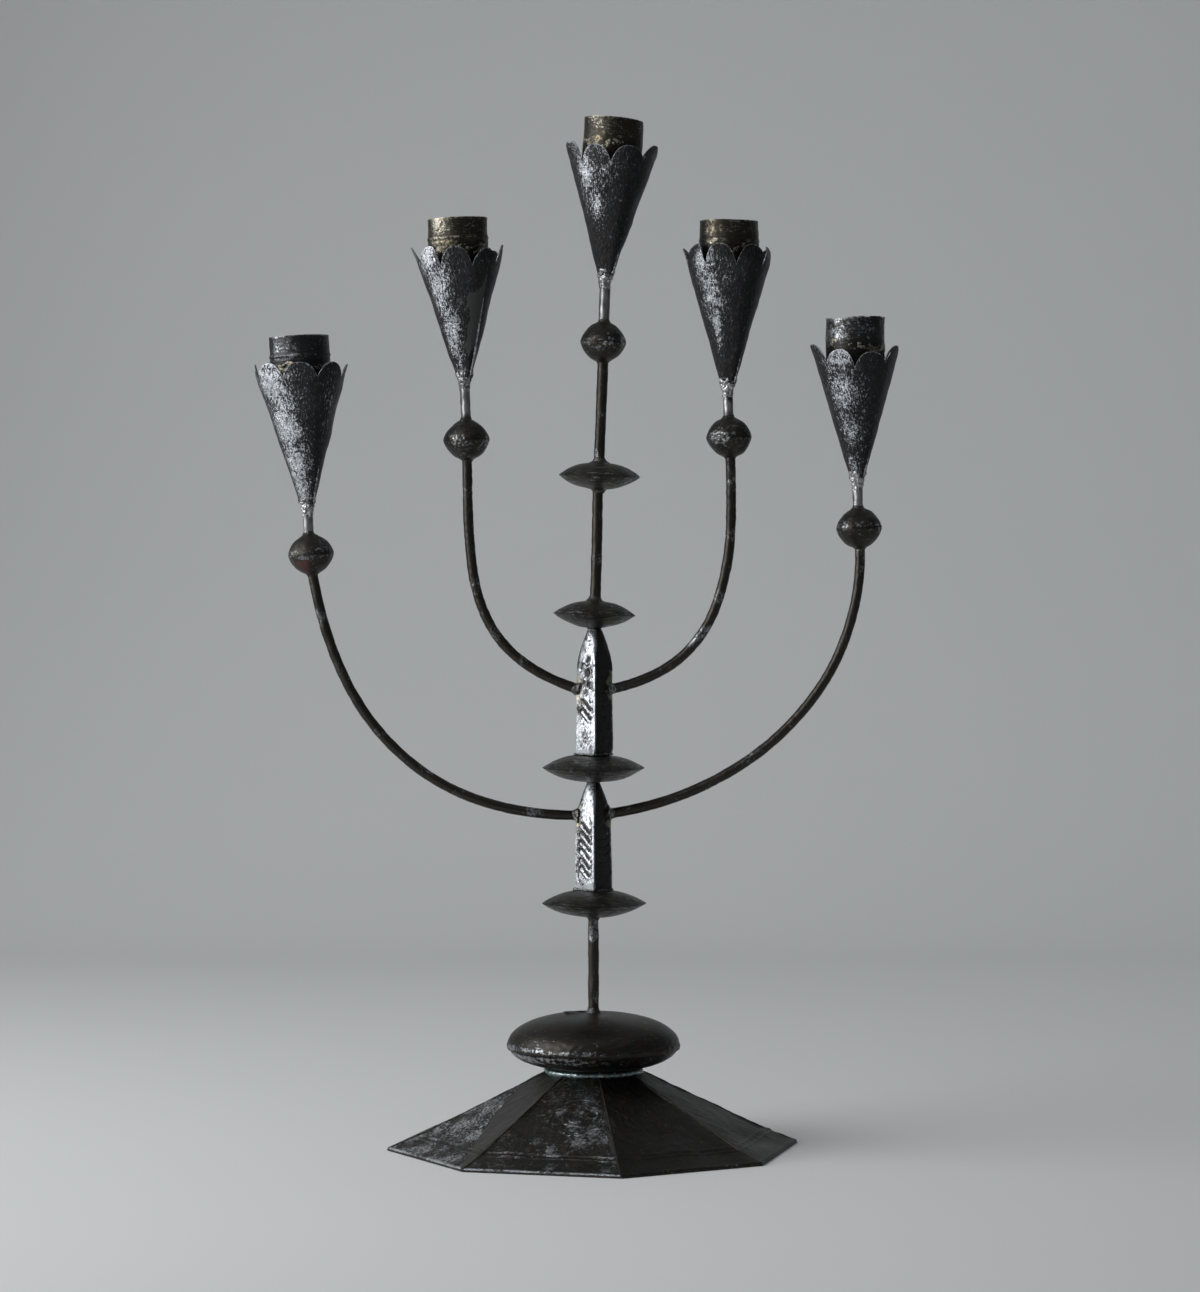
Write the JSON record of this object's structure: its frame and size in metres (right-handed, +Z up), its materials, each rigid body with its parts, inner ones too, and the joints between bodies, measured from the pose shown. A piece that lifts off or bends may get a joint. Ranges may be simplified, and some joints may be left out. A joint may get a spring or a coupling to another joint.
{
  "type": "candelabra",
  "caption": "Soldered tin candelabra: octagonal flared base, bun knob, lens discs and square towers on a thin rod, bent rod arms, petalled cones holding candle sockets.",
  "frame": {"origin": "on the table, under the middle of the whole object's box; the stem's foot is 7 mm to the right of it, because the left arm reaches further", "axes": "+Z up along the stem, +X to the right along the plane of the arms, +Y away from the viewer"},
  "size_m": [0.2588, 0.1644, 0.4125],
  "materials": {
    "base_tin": "aged tin plate, scratched and oxidised",
    "knob_tin": "aged tin plate, satin",
    "tower_tin": "worn tin plate, bright on the corners",
    "dark_tin": "darkened tin, satin",
    "cone_tin": "darkened tin with bright crystals and scratches",
    "rod_iron": "dark drawn rod, worn bright in places",
    "solder": "solder, dulled",
    "socket_brass": "dark patina with golden wear"
  },
  "bodies": {
    "root": {"base_panel_1": "base_tin", "base_panel_2": "base_tin", "base_panel_3": "base_tin", "base_panel_4": "base_tin", "base_panel_5": "base_tin", "base_panel_6": "base_tin", "base_panel_7": "base_tin", "base_panel_8": "base_tin", "base_collar": "solder", "knob_lower_shell": "knob_tin", "knob_upper_shell": "knob_tin", "stem_rod": "rod_iron", "disc_1_lower_shell": "dark_tin", "disc_1_upper_shell": "dark_tin", "disc_2_lower_shell": "dark_tin", "disc_2_upper_shell": "dark_tin", "disc_3_lower_shell": "dark_tin", "disc_3_upper_shell": "dark_tin", "disc_4_lower_shell": "dark_tin", "disc_4_upper_shell": "dark_tin", "lower_tower": "tower_tin", "upper_tower": "tower_tin", "inner_left_arm": "rod_iron", "inner_right_arm": "rod_iron", "outer_left_arm": "rod_iron", "outer_right_arm": "rod_iron", "middle_ball_lower_shell": "dark_tin", "middle_ball_upper_shell": "dark_tin", "inner_left_ball_lower_shell": "dark_tin", "inner_left_ball_upper_shell": "dark_tin", "inner_right_ball_lower_shell": "dark_tin", "inner_right_ball_upper_shell": "dark_tin", "outer_left_ball_lower_shell": "dark_tin", "outer_left_ball_upper_shell": "dark_tin", "outer_right_ball_lower_shell": "dark_tin", "outer_right_ball_upper_shell": "dark_tin", "middle_cone": "cone_tin", "inner_left_cone": "cone_tin", "inner_right_cone": "cone_tin", "outer_left_cone": "cone_tin", "outer_right_cone": "cone_tin", "middle_socket": "socket_brass", "inner_left_socket": "socket_brass", "inner_right_socket": "socket_brass", "outer_left_socket": "socket_brass", "outer_right_socket": "socket_brass", "middle_socket_floor": "socket_brass", "inner_left_socket_floor": "socket_brass", "inner_right_socket_floor": "socket_brass", "outer_left_socket_floor": "socket_brass", "outer_right_socket_floor": "socket_brass"}
  },
  "joints": []
}
